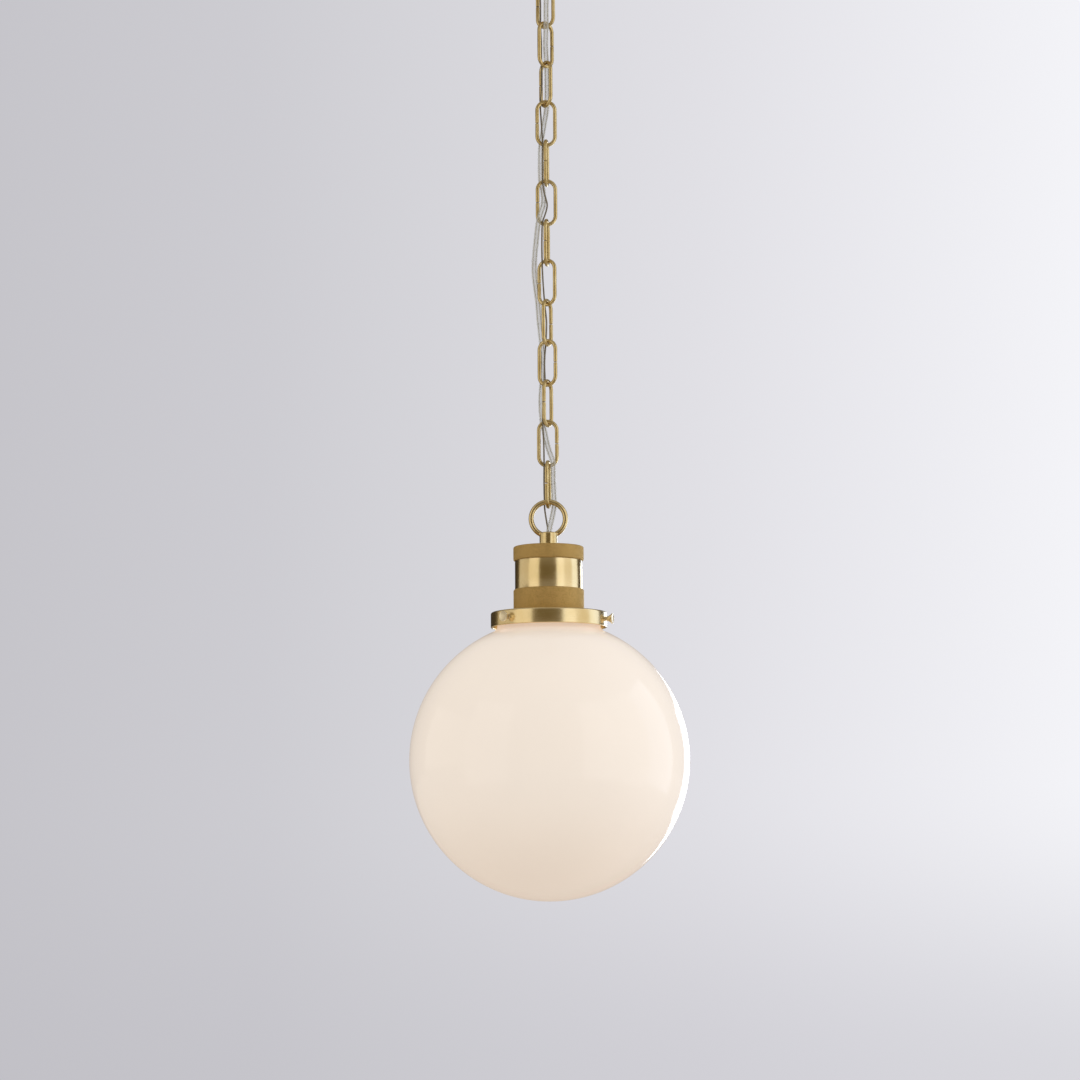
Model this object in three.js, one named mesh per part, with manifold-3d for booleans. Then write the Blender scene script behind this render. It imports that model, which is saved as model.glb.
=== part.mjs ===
// A globe pendant light. A canopy on the ceiling carries a chain of thirteen oval links with a clear
// flex and an earth wire laced through it. The chain carries a brass head: a wire-way loop, a cap, a
// polished band, a collar and a ring with three thumbscrews that hold an opal glass globe by its neck.
// Millimetres. The origin is on the axis in the plane of the ceiling, +Z is up, the front is -Y.
import * as THREE from "three";
import { mergeVertices } from "three/addons/utils/BufferGeometryUtils.js";
import Module from "manifold-3d";

const wasm = await Module();
wasm.setup();

// ---- clearances ----
const touch = 0.3; // between two pieces that rest on each other
const boreClearance = 0.4; // on the radius, between a hole and the pipe or screw in it

// ---- canopy and its strap ----
const canopyDiameter = 127;
const canopyHeight = 26;
const canopyWall = 1.2;
const canopyEdge = 7; // radius of the rounded lower edge
const canopyFlange = 3.5; // width of the rim that meets the ceiling
const strapWidth = 20;
const strapThickness = 2;
const strapInset = 12; // from the canopy's inner wall to the strap's end
const studSpacing = 70;
const studDiameter = 4;
const capNutDiameter = 9;
const capNutHeight = 7.5;

// ---- threaded pipe and the loops screwed on it ----
const pipeDiameter = 10;
const pipeBore = 7.4;
const pipeEngagement = 7; // how far a pipe is screwed into a loop
const nutRim = 3; // from the thread to the flats of a lock nut
const nutHeight = 4;
const washerRim = 7;
const washerThickness = 1.2;
const stemDiameter = 16.2;
const stemHeight = 13;
const wireHole = 8;
const loopDiameter = 36.1;
const loopWire = 4.8;
const loopRise = 12.5; // from the stem's end to the centre of the ring
const canopyLoopTurn = 60; // degrees about the axis; the loop of the head faces the front

// ---- chain ----
const linkLength = 44.9;
const linkWidth = 19.9;
const linkWire = 3.4;
const linkPlay = 0.5; // between the wires of two links where one hangs in the other
const linkSeam = 0.6; // the butt joint where the bent wire meets itself
// each link's turn about the axis in degrees, and the side that its seam is on, from the top
const links = [
  { turn: -30, seam: -1 },
  { turn: 44, seam: 1 },
  { turn: -57, seam: -1 },
  { turn: 3, seam: -1 },
  { turn: 83, seam: -1 },
  { turn: 3, seam: -1 },
  { turn: 81, seam: -1 },
  { turn: -30, seam: -1 },
  { turn: 65, seam: 1 },
  { turn: -27, seam: 1 },
  { turn: 66, seam: -1 },
  { turn: 0, seam: 1 },
  { turn: 81, seam: -1 },
];

// ---- head ----
const capDiameter = 64.2; // of the cap and the collar
const capHeight = 13;
const capEdge = 1.5;
const bandStep = 1.45; // how far the band stands back from the cap
const bandHeight = 26.2; // of the band that shows
const bandWall = 1.5;
const rebateDepth = 2.5; // how far the band goes into the cap and into the collar
const rebateLip = 4; // thickness of cap and collar inside the band
const collarHeight = 20.8;
const headPlate = 3; // thickness of the cap's top and of the collar's floor
const fitterDiameter = 105.7;
const fitterHeight = 13.8;
const fitterWall = 1.6;
const screwAzimuths = [-44, 76, 196]; // degrees from the front towards +X
const screwShank = 4;
const screwHead = 9.5;
const screwStandOut = 6.8; // from the ring to the face of the screw's head

// ---- glass globe ----
const globeDiameter = 254;
const glassWall = 3;
const lipClearance = 1.4; // between the lip of the glass and the inside of the ring
const lipFlare = 2.8; // how far the lip stands out from the neck
const lipHeight = 2.4;
const lipGap = 0.7; // between the lip and the underside of the ring's plate
const neckLength = 13.7; // from where the neck would meet the sphere to the top of the lip

// ---- lampholder and bulb ----
const pipeBelowFitter = 18.4; // from the underside of the ring's plate to the end of the pipe
const socketWall = 2.3; // of the insulating body round the screw shell
const socketLength = 41;
const socketFloor = 9; // thickness of the insulating body above the screw shell
const socketCapWall = 1;
const socketCapSkirt = 7; // how far the cap reaches down over the insulating body
const socketCapChamfer = 2.4; // of the edge between the cap's side and its top
const wiringSpace = 9; // height of the room inside the cap for the terminals
const shellWall = 0.5;
const baseDiameter = 26;
const baseWall = 0.5;
const baseLength = 25;
const bulbDiameter = 60;
const bulbLength = 108;
const bulbWall = 1;
const bulbSeal = 12; // how far the neck of the bulb's glass is cemented inside the base
const bulbSwell = 3.5; // how far the glass has widened half way from its neck to its ball
const filamentWidth = 18;
const filamentWire = 1.4;

// ---- flex, earth wire and what they end in ----
const flexWidth = 5.4;
const flexThickness = 2.7;
const earthDiameter = 1.6;
const leadDiameter = 2.2;
const connectorDiameter = 12;
const connectorLength = 22;

// The flex, from above the pipe in the canopy down to the room inside the lampholder's cap: x, y, z.
const flexRoute = [
  [0, -0.6, -13.5], [0, -0.6, -24], [0, -0.6, -34], [0, -0.6, -41], [1, -3.8, -53], [2.2, -7.5, -65],
  [0.9, -5.7, -80.4], [0.6, -5.3, -92.7], [0.6, -5.4, -104.1], [0.2, -3, -113.3], [0, 0.3, -121.6],
  [0.3, 4, -128.8], [0.9, 7.1, -140.1], [1.2, 6.8, -158.7], [0.7, 6.9, -179.3], [-1.8, 5.4, -195.8],
  [-4.8, 4.1, -215.3], [-5.3, 3.2, -233.9], [-5, 3.9, -250.4], [-3.4, 2.4, -258.6], [-2.6, 0.2, -267.9],
  [-3.2, -2.2, -275.1], [-5.4, -4, -282.3], [-7.5, -4.2, -290.5], [-9.6, -1.6, -307],
  [-11.6, 3.4, -328.7], [-11.4, 6.8, -340], [-10.2, 8.4, -350.3], [-8.6, 8.5, -362.6],
  [-7.3, 6.9, -381.2], [-5.2, 7.3, -401.8], [-4.1, 7.2, -414.2], [-5, 7.3, -438.9], [-6.1, 4.8, -457.4],
  [-4.7, 4.3, -478], [-2.4, 2, -488.3], [-0.4, -0.8, -498.6], [2.4, -3.2, -507.9], [4.4, -3.9, -514.1],
  [4.6, -3.6, -520.3], [4.5, -1.6, -528.5], [5, 1.8, -539.8], [5.5, 4.7, -551.2], [5, 4.3, -557.3],
  [3.9, 2.6, -563.3], [2, 0.4, -571.3], [0.4, -0.6, -579.3], [0, -0.6, -586.3], [0, -0.6, -614.3],
  [0, -0.6, -644.3], [0, -0.6, -676.3],
];
// The earth wire, from the screw on the strap down to the same room.
const earthRoute = [
  [-11, 0, -3.8], [-7, 0.6, -4.6], [-2.4, 1.6, -8], [0, 1.9, -14], [0, 1.9, -24], [0, 1.9, -34],
  [0, 1.9, -41], [-2.4, 0.4, -53], [-4.9, -1.3, -65], [-4.6, -1.5, -83.5], [-4.6, -0.6, -104.1],
  [-4, 0.4, -121.6], [-3.9, 0.5, -142.2], [-3.7, 0.6, -158.7], [-5.2, 2.9, -177.2], [-4.6, 1.2, -191.6],
  [-3.9, -1.4, -204], [-3.4, -3.4, -215.3], [-3.6, -1.9, -233.9], [-3.3, -3.2, -254.5],
  [-1.6, -3.4, -264.8], [0.6, -3.6, -274.1], [-0.3, -4.2, -280.2], [-1.8, -4.4, -284.9],
  [-3.6, -3.9, -290], [-4.4, -1.6, -305], [-4.3, -1.3, -329.7], [-3.6, 1.8, -346.2],
  [-2.1, 4.5, -366.8], [-0.6, 3.6, -383.3], [-1.5, 4.3, -404.9], [-2.7, 3.6, -420.3], [-2.3, 4.6, -442],
  [-4.2, 1, -459.5], [-4.7, -3.2, -476], [-3.8, -3.2, -497.6], [-3.6, -3.3, -517.2],
  [-3.7, -0.8, -534.7], [-3.4, 3.7, -550.1], [-3.2, 3.4, -557.3], [-1.8, 2.8, -567.3],
  [-0.5, 2.2, -576.3], [0, 1.9, -584.3], [0, 1.9, -614.3], [0, 1.9, -644.3], [0, 1.9, -676.3],
];

// ---- finishes ----
const finish = (color, roughness, metalness) => ({ color, roughness, metalness });
const satinBrass = finish(0xb09454, 0.35, 1);
const polishedBrass = finish(0xcdb477, 0.15, 1);
const castBrass = finish(0x9e8040, 0.6, 1);
const steel = finish(0x9a9a98, 0.4, 1);
const opalGlass = finish(0xf3e8da, 0.1, 0);
const bulbGlass = finish(0xf4f2ec, 0.3, 0);
const phenolic = finish(0x2a2522, 0.5, 0);
const clearPlastic = finish(0xc4c9c2, 0.3, 0);
const earthCopper = finish(0x6f6a5c, 0.4, 0.5);
const greenPaint = finish(0x3c7d4a, 0.4, 0.5);
const connectorPlastic = finish(0xd9a441, 0.5, 0);

const part = new THREE.Group();

function add(group, name, geometry, looks) {
  const mesh = new THREE.Mesh(geometry, new THREE.MeshStandardMaterial(looks));
  mesh.name = name;
  group.add(mesh);
  return mesh;
}

// ---- shapes ----
const radians = (degrees) => (degrees * Math.PI) / 180;

// An arc as [radius, height] points, its angle measured from +radius towards +height.
function arc(radius, height, size, from, to, steps) {
  return Array.from({ length: steps + 1 }, (_, i) => {
    const angle = radians(from + ((to - from) * i) / steps);
    return [radius + size * Math.cos(angle), height + size * Math.sin(angle)];
  });
}

// A turned piece about Z. The outline runs anticlockwise with the radius to the right and Z up.
function turned(outline, segments) {
  const points = outline.map(([r, z]) => new THREE.Vector2(r, z));
  return new THREE.LatheGeometry(points, segments).rotateX(Math.PI / 2);
}

// A turned piece with a hole along its axis: the outline closes on itself.
function turnedRing(outline, segments) {
  return turned([...outline, outline[0]], segments);
}

// A plain tube, washer or bush.
function bush(inner, outer, low, high, segments) {
  return turnedRing([[inner, low], [outer, low], [outer, high], [inner, high]], segments);
}

// A wire through points that keeps one step from each point to the next.
class Wire extends THREE.Curve {
  constructor(points) {
    super();
    this.points = points;
  }
  getUtoTmapping(u) {
    return u;
  }
  getPoint(t) {
    const place = t * (this.points.length - 1);
    const first = Math.min(Math.floor(place), this.points.length - 2);
    return this.points[first].clone().lerp(this.points[first + 1], place - first);
  }
}

// A section of the given width and thickness, as a polygon for sweeping.
function ovalSection(thickness, width, sides) {
  const points = [];
  for (let i = 0; i < sides; i += 1) {
    const angle = (2 * Math.PI * (i + 0.5)) / sides;
    points.push(new THREE.Vector2((Math.cos(angle) * thickness) / 2, (Math.sin(angle) * width) / 2));
  }
  return new THREE.Shape(points);
}

function swept(path, section, steps) {
  return new THREE.ExtrudeGeometry(section, { steps, extrudePath: path, bevelEnabled: false });
}

function smooth(route) {
  return new THREE.CatmullRomCurve3(route.map((p) => new THREE.Vector3(...p)), false, "centripetal");
}

// ---- joining and cutting ----
function solid(geometry) {
  const bare = geometry.clone();
  bare.deleteAttribute("normal");
  bare.deleteAttribute("uv");
  const merged = mergeVertices(bare);
  return new wasm.Manifold(
    new wasm.Mesh({
      numProp: 3,
      vertProperties: merged.attributes.position.array,
      triVerts: new Uint32Array(merged.index.array),
    }),
  );
}

function geometryOf(body) {
  const mesh = body.getMesh();
  const geometry = new THREE.BufferGeometry();
  geometry.setAttribute("position", new THREE.BufferAttribute(mesh.vertProperties, 3));
  geometry.setIndex(new THREE.BufferAttribute(mesh.triVerts, 1));
  return geometry;
}

function cut(geometry, tools) {
  return geometryOf(tools.reduce((body, tool) => body.subtract(solid(tool)), solid(geometry)));
}

// A rod along Z for cutting holes.
function rod(diameter, low, high, segments) {
  const geometry = new THREE.CylinderGeometry(diameter / 2, diameter / 2, high - low, segments);
  return geometry.rotateX(Math.PI / 2).translate(0, 0, (low + high) / 2);
}

// ---- repeated pieces ----
const pipeHole = pipeDiameter + 2 * boreClearance;
const studHole = studDiameter + 2 * boreClearance;
const pastFace = 1; // how far a cutter runs past the face that it opens

function pipe(low, high) {
  return bush(pipeBore / 2, pipeDiameter / 2, low, high, 24);
}

function washer(low) {
  return bush(pipeHole / 2, pipeHole / 2 + washerRim, low, low + washerThickness, 24);
}

function hexNut(low) {
  const acrossCorners = (pipeDiameter + 2 * nutRim) / Math.cos(Math.PI / 6);
  const hole = rod(pipeHole, low - pastFace, low + nutHeight + pastFace, 24);
  return cut(rod(acrossCorners, low, low + nutHeight, 6), [hole]);
}

// A loop with a wire way: a ring brazed to a threaded stem. It stands on its stem at z = 0.
function wirewayLoop() {
  const ringRadius = (loopDiameter - loopWire) / 2;
  const ring = new THREE.TorusGeometry(ringRadius, loopWire / 2, 8, 24).rotateX(Math.PI / 2);
  ring.translate(0, 0, stemHeight + loopRise);
  const stem = rod(stemDiameter, 0, stemHeight, 24);
  const joined = geometryOf(solid(stem).add(solid(ring)));
  const thread = rod(pipeHole, -pastFace, pipeEngagement + touch, 24);
  const way = rod(wireHole, 0, stemHeight + loopRise - loopWire, 20);
  return cut(joined, [thread, way]);
}

// One oval link in the XZ plane: round wire bent to meet itself at a seam on one long side.
function oval(seamSide) {
  const bend = (linkWidth - linkWire) / 2;
  const straight = (linkLength - linkWidth) / 2;
  const bendSteps = 6;
  const outline = [
    [bend, linkSeam / 2],
    ...arc(0, straight, bend, 0, 180, bendSteps),
    ...arc(0, -straight, bend, 180, 360, bendSteps),
    [bend, -linkSeam / 2],
  ];
  const points = outline.map(([x, z]) => new THREE.Vector3(x * seamSide, 0, z));
  return swept(new Wire(points), ovalSection(linkWire, linkWire, 8), points.length - 1);
}

// ---- canopy: everything that stays on the ceiling ----
const canopy = new THREE.Group();
part.add(canopy);

const canopyRadius = canopyDiameter / 2;
const canopyFloor = -canopyHeight + canopyWall; // the inside of the canopy's flat bottom
const canopyFlat = canopyRadius - canopyEdge;
const canopyShell = turnedRing(
  [
    [pipeHole / 2, -canopyHeight],
    ...arc(canopyFlat, canopyEdge - canopyHeight, canopyEdge, -90, 0, 4),
    [canopyRadius, 0],
    [canopyRadius - canopyFlange, 0],
    [canopyRadius - canopyFlange, -canopyWall],
    [canopyRadius - canopyWall, -canopyWall],
    ...arc(canopyFlat, canopyEdge - canopyHeight, canopyEdge - canopyWall, 0, -90, 3),
    [pipeHole / 2, canopyFloor],
  ],
  36,
);
const studPlaces = [-studSpacing / 2, studSpacing / 2];
const canopyHoles = studPlaces.map((x) =>
  rod(studHole, -canopyHeight - pastFace, canopyFloor + pastFace, 12).translate(x, 0, 0),
);
add(canopy, "ceiling_canopy", cut(canopyShell, canopyHoles), castBrass);

const strapLength = canopyDiameter - 2 * (canopyWall + strapInset);
const groundScrewX = -15;
const groundScrewDiameter = 3.5;
const groundHole = groundScrewDiameter + 2 * boreClearance;
const strapBar = new THREE.BoxGeometry(strapLength, strapWidth, strapThickness);
strapBar.translate(0, 0, -strapThickness / 2);
const boxSlotSpacing = 44; // of the two holes that take the screws of the ceiling box
const boxHole = 5;
const strapHoles = [
  ...studPlaces.map((x) => rod(studHole, -strapThickness - pastFace, pastFace, 12).translate(x, 0, 0)),
  ...[-boxSlotSpacing / 2, boxSlotSpacing / 2].map((x) =>
    rod(boxHole, -strapThickness - pastFace, pastFace, 12).translate(x, 0, 0),
  ),
  rod(groundHole, -strapThickness - pastFace, pastFace, 12).translate(groundScrewX, 0, 0),
];
add(canopy, "mounting_strap", cut(strapBar, strapHoles), steel);

const capNutTop = -canopyHeight - touch;
const capNutBore = capNutHeight - 2;
const studLow = capNutTop - capNutBore + touch;
studPlaces.forEach((x, i) => {
  const stud = add(canopy, "canopy_stud_" + (i + 1), rod(studDiameter, studLow, -touch, 12), steel);
  stud.position.x = x;
  const dome = capNutDiameter / 2;
  const nut = turned(
    [
      [0, capNutTop - capNutHeight],
      [dome * 0.6, capNutTop - capNutHeight * 0.86],
      [dome, capNutTop - capNutHeight * 0.5],
      [dome, capNutTop],
      [studHole / 2, capNutTop],
      [studHole / 2, capNutTop - capNutBore],
      [0, capNutTop - capNutBore],
    ],
    16,
  );
  add(canopy, "cap_nut_" + (i + 1), nut, polishedBrass).position.x = x;
});

const groundHead = 3.5;
const groundHeadHeight = 2.2;
const groundTop = -touch;
const groundSeat = -strapThickness - touch;
const groundScrew = turned(
  [
    [0, groundSeat - groundHeadHeight],
    [groundHead, groundSeat - groundHeadHeight],
    [groundHead, groundSeat],
    [groundScrewDiameter / 2, groundSeat],
    [groundScrewDiameter / 2, groundTop],
    [0, groundTop],
  ],
  12,
);
add(canopy, "ground_screw", groundScrew, greenPaint).position.x = groundScrewX;

const canopyLoopTop = -canopyHeight - touch; // the stem of the canopy's loop meets the canopy here
const canopyWasherLow = canopyFloor + touch;
const canopyNutLow = canopyWasherLow + washerThickness + touch;
const canopyPipeTop = canopyNutLow + nutHeight + 2;
add(canopy, "canopy_washer", washer(canopyWasherLow), steel);
add(canopy, "canopy_lock_nut", hexNut(canopyNutLow), steel);
add(canopy, "canopy_pipe", pipe(canopyLoopTop - pipeEngagement, canopyPipeTop), steel);
const canopyLoop = add(canopy, "canopy_loop", wirewayLoop(), satinBrass);
canopyLoop.rotation.set(Math.PI, 0, -radians(canopyLoopTurn));
canopyLoop.position.z = canopyLoopTop;

// Two leads leave the end of the flex, and each goes into its own wire connector.
const leadPlace = flexWidth / 4;
const [, flexY, flexTop] = flexRoute[0];
const connectorX = 15;
const connectorY = 16;
const connectorZ = -12.2;
[1, -1].forEach((side, i) => {
  const lead = smooth([
    [side * leadPlace, flexY, flexTop + touch],
    [side * leadPlace, flexY, flexTop + 1.5],
    [side * 2.6, side * 1.6, -10.4],
    [side * 6.5, side * 8, -10.4],
    [side * 10, side * 14, -11.4],
    [side * (connectorX - 2.5), side * connectorY, connectorZ],
    [side * (connectorX - touch), side * connectorY, connectorZ],
  ]);
  const section = ovalSection(leadDiameter, leadDiameter, 8);
  add(canopy, "supply_lead_" + (i + 1), swept(lead, section, 12), clearPlastic);
  const wide = connectorDiameter / 2;
  const body = turned(
    [
      [0, 0],
      [wide * 0.9, 0],
      [wide, connectorLength * 0.2],
      [wide * 0.66, connectorLength * 0.9],
      [wide * 0.4, connectorLength],
      [0, connectorLength],
    ],
    12,
  );
  body.rotateY(Math.PI / 2);
  const connector = add(canopy, "wire_connector_" + (i + 1), body, connectorPlastic);
  connector.position.set(side * connectorX, side * connectorY, connectorZ);
  connector.rotation.z = side > 0 ? 0 : Math.PI;
});

// ---- chain ----
const chain = new THREE.Group();
part.add(chain);

// Heights of wire centres: a link's crest lies on the loop or link above it.
const canopyRingZ = canopyLoopTop - stemHeight - loopRise;
const crestOnLoop = (loopWire + linkWire) / 2 + linkPlay;
const crestOnLink = linkWire + linkPlay;
const linkReach = (linkLength - linkWire) / 2; // from a link's centre to its wire at either end
const loopReach = (loopDiameter - loopWire) / 2;
const firstLinkZ = canopyRingZ - loopReach + crestOnLoop - linkReach;
const linkPitch = 2 * linkReach - crestOnLink;
links.forEach(({ turn, seam }, i) => {
  const name = "chain_link_" + String(i + 1).padStart(2, "0");
  const link = add(chain, name, oval(seam), satinBrass);
  link.position.z = firstLinkZ - i * linkPitch;
  link.rotation.z = radians(turn);
});
const lastLinkZ = firstLinkZ - (links.length - 1) * linkPitch;

// ---- head: everything that hangs from the last link ----
const head = new THREE.Group();
part.add(head);

const headRingZ = lastLinkZ - linkReach + crestOnLoop - loopReach;
const stemLow = headRingZ - loopRise - stemHeight;
const headLoop = add(head, "head_loop", wirewayLoop(), satinBrass);
headLoop.position.z = stemLow;

const headSegments = 36; // sides of the turned pieces of the head
const capRadius = capDiameter / 2;
const bandRadius = capRadius - bandStep;
const rebateRadius = bandRadius + touch;
const insideRadius = bandRadius - bandWall - touch - rebateLip;
const capTop = stemLow - touch;
const capLow = capTop - capHeight;
const topCap = turnedRing(
  [
    [insideRadius, capLow + rebateDepth],
    [rebateRadius, capLow + rebateDepth],
    [rebateRadius, capLow],
    ...arc(capRadius - capEdge, capLow + capEdge, capEdge, -45, 0, 1),
    ...arc(capRadius - capEdge, capTop - capEdge, capEdge, 0, 90, 2),
    [pipeHole / 2, capTop],
    [pipeHole / 2, capTop - headPlate],
    [insideRadius, capTop - headPlate],
  ],
  headSegments,
);
add(head, "top_cap", topCap, castBrass);

const collarTop = capLow - bandHeight;
const collarLow = collarTop - collarHeight;
const band = bush(
  bandRadius - bandWall,
  bandRadius,
  collarTop - rebateDepth + touch,
  capLow + rebateDepth - touch,
  headSegments,
);
add(head, "polished_band", band, polishedBrass);

const lowerCollar = turnedRing(
  [
    [pipeHole / 2, collarLow],
    [capRadius, collarLow],
    ...arc(capRadius - capEdge, collarTop - capEdge, capEdge, 0, 45, 1),
    [rebateRadius, collarTop],
    [rebateRadius, collarTop - rebateDepth],
    [insideRadius, collarTop - rebateDepth],
    [insideRadius, collarLow + headPlate],
    [pipeHole / 2, collarLow + headPlate],
  ],
  headSegments,
);
add(head, "lower_collar", lowerCollar, castBrass);

const fitterTop = collarLow - touch;
const fitterLow = fitterTop - fitterHeight;
const fitterRadius = fitterDiameter / 2;
const fitterInside = fitterRadius - fitterWall;
const plateLow = fitterTop - fitterWall;
const lipTop = plateLow - lipGap;
const screwZ = lipTop - lipHeight - touch - screwShank / 2;
const fitterEdge = 1;
const fitterShell = turnedRing(
  [
    [fitterInside, fitterLow],
    [fitterRadius, fitterLow],
    ...arc(fitterRadius - fitterEdge, fitterTop - fitterEdge, fitterEdge, 0, 90, 2),
    [pipeHole / 2, fitterTop],
    [pipeHole / 2, plateLow],
    [fitterInside, plateLow],
  ],
  42,
);
const towards = (azimuth) => radians(azimuth - 90); // turns +X to that direction
const screwHoles = screwAzimuths.map((azimuth) =>
  rod(screwShank + 2 * boreClearance, fitterInside - 2 * pastFace, fitterRadius + pastFace, 12)
    .rotateY(Math.PI / 2)
    .rotateZ(towards(azimuth))
    .translate(0, 0, screwZ),
);
add(head, "fitter_ring", cut(fitterShell, screwHoles), polishedBrass);

// ---- globe ----
const lipRadius = fitterInside - lipClearance;
const neckRadius = lipRadius - lipFlare;
const globeRadius = globeDiameter / 2;
const globeZ = lipTop - neckLength - Math.sqrt(globeRadius ** 2 - neckRadius ** 2);
const shoulder = 2.4; // how far outside the neck the sphere ends
const sphereEnd = (radius, neck) => 90 - (Math.asin(neck / radius) * 180) / Math.PI;
const outerEnd = sphereEnd(globeRadius, neckRadius + shoulder);
const innerRadius = globeRadius - glassWall;
const innerNeck = neckRadius - glassWall;
const innerEnd = sphereEnd(innerRadius, innerNeck + shoulder);
const neckLow = globeZ + Math.sqrt(globeRadius ** 2 - neckRadius ** 2) + shoulder;
const globe = turned(
  [
    ...arc(0, globeZ, globeRadius, -90, outerEnd, 12),
    [neckRadius, neckLow],
    [neckRadius, lipTop - lipHeight],
    [lipRadius, lipTop - lipHeight * 0.8],
    [lipRadius, lipTop - lipHeight * 0.2],
    [lipRadius - 1, lipTop],
    [innerNeck, lipTop],
    [innerNeck, neckLow - shoulder / 2],
    ...arc(0, globeZ, innerRadius, innerEnd, -90, 8),
  ],
  36,
);
add(head, "glass_globe", globe, opalGlass);

// ---- thumbscrews: trumpet heads, their tips against the neck of the glass ----
const screwTip = neckRadius + touch;
const faceRadius = fitterRadius + screwStandOut;
const rimThickness = 0.9;
const flareStart = fitterRadius + 0.8;
const flareEnd = faceRadius - rimThickness;
const flareSteps = 5;
const flare = Array.from({ length: flareSteps + 1 }, (_, i) => {
  const way = i / flareSteps;
  const radius = screwShank / 2 + ((screwHead - screwShank) / 2) * way ** 2;
  return [radius, flareStart + (flareEnd - flareStart) * way];
});
const thumbscrew = () =>
  turned(
    [
      [0, screwTip],
      [screwShank / 2, screwTip],
      ...flare,
      [screwHead / 2, faceRadius - 0.2],
      [screwHead / 2 - 0.4, faceRadius],
      [0, faceRadius + 0.2],
    ],
    16,
  ).rotateY(Math.PI / 2);
screwAzimuths.forEach((azimuth, i) => {
  const screw = add(head, "thumbscrew_" + (i + 1), thumbscrew(), polishedBrass);
  screw.rotation.z = towards(azimuth);
  screw.position.z = screwZ;
});

// ---- the pipe that holds the head together, and the lampholder on its end ----
const headPipeLow = plateLow - pipeBelowFitter;
const headWasherLow = plateLow - touch - washerThickness;
const headNutLow = headWasherLow - touch - nutHeight;
add(head, "head_pipe", pipe(headPipeLow, stemLow + pipeEngagement), steel);
add(head, "head_washer", washer(headWasherLow), steel);
add(head, "head_lock_nut", hexNut(headNutLow), steel);

const shellRadius = baseDiameter / 2 + boreClearance + shellWall;
const socketInside = shellRadius + touch;
const socketRadius = socketInside + socketWall;
const hubTop = headNutLow - touch;
const hubRadius = pipeHole / 2 + 3;
const roomTop = headPipeLow - 1.5;
const roomLow = roomTop - wiringSpace;
const capInside = socketRadius + touch;
const socketCap = turnedRing(
  [
    [capInside, roomLow - socketCapSkirt],
    [capInside + socketCapWall, roomLow - socketCapSkirt],
    [capInside + socketCapWall, roomTop - socketCapChamfer + 0.4],
    [capInside + socketCapWall - socketCapChamfer + 0.4, roomTop + socketCapWall],
    [hubRadius + 1, roomTop + socketCapWall + 1],
    [hubRadius, hubTop],
    [pipeHole / 2, hubTop],
    [pipeHole / 2, roomTop],
    [capInside - socketCapChamfer, roomTop],
    [capInside, roomTop - socketCapChamfer],
  ],
  24,
);
add(head, "socket_cap", socketCap, satinBrass);

const socketTop = roomLow;
const socketLow = socketTop - socketLength;
const shellTop = socketTop - socketFloor;
const terminalX = 9;
const terminalDiameter = 3;
const terminalHole = terminalDiameter + 2 * boreClearance;
const socketShellBody = turned(
  [
    [socketInside, socketLow],
    [socketRadius, socketLow],
    [socketRadius, socketTop],
    [0, socketTop],
    [0, shellTop],
    [socketInside, shellTop],
    [socketInside, socketLow],
  ],
  24,
);
const terminalDepth = 5;
const terminalHoles = [-terminalX, terminalX].map((x) =>
  rod(terminalHole, socketTop - terminalDepth - touch, socketTop + pastFace, 12).translate(x, 0, 0),
);
add(head, "socket_body", cut(socketShellBody, terminalHoles), phenolic);

[-terminalX, terminalX].forEach((x, i) => {
  const headRadius = 3;
  const headHigh = 1.8;
  const seat = socketTop + touch;
  const screw = turned(
    [
      [0, socketTop - terminalDepth],
      [terminalDiameter / 2, socketTop - terminalDepth],
      [terminalDiameter / 2, seat],
      [headRadius, seat],
      [headRadius, seat + headHigh],
      [0, seat + headHigh],
    ],
    12,
  );
  add(head, "terminal_screw_" + (i + 1), screw, satinBrass).position.x = x;
});

const contactHole = 5;
const shellLow = socketLow + 2;
const shellHigh = shellTop - touch;
const screwShell = turnedRing(
  [
    [shellRadius - shellWall, shellLow],
    [shellRadius, shellLow],
    [shellRadius, shellHigh],
    [contactHole, shellHigh],
    [contactHole, shellHigh - shellWall],
    [shellRadius - shellWall, shellHigh - shellWall],
  ],
  24,
);
add(head, "screw_shell", screwShell, polishedBrass);
const contactHeight = 2.2;
const contact = rod(2 * (contactHole - 1), shellHigh - contactHeight, shellHigh, 12);
add(head, "centre_contact", contact, polishedBrass);

// ---- bulb, screwed into the lampholder with its base up ----
const bulb = new THREE.Group();
part.add(bulb);

const bulbTop = shellHigh - contactHeight - touch;
const tipHeight = 1.2;
const insulatorHeight = 3;
const baseRadius = baseDiameter / 2;
const tipLow = bulbTop - tipHeight;
const insulatorTop = tipLow - touch;
const baseTop = insulatorTop - insulatorHeight;
const baseLow = baseTop - baseLength;
const insulatorRadius = baseRadius - baseWall - touch;
const tipRadius = 4.5;
const tip = turned([[0, tipLow], [tipRadius, tipLow], [tipRadius - 1.3, bulbTop], [0, bulbTop]], 12);
add(bulb, "bulb_contact", tip, steel);
const insulator = turned(
  [
    [0, baseTop - 2],
    [insulatorRadius, baseTop - 2],
    [insulatorRadius, baseTop],
    [5, insulatorTop],
    [0, insulatorTop],
  ],
  24,
);
add(bulb, "bulb_insulator", insulator, phenolic);
add(bulb, "bulb_base", bush(baseRadius - baseWall, baseRadius, baseLow, baseTop, 24), steel);

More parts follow.
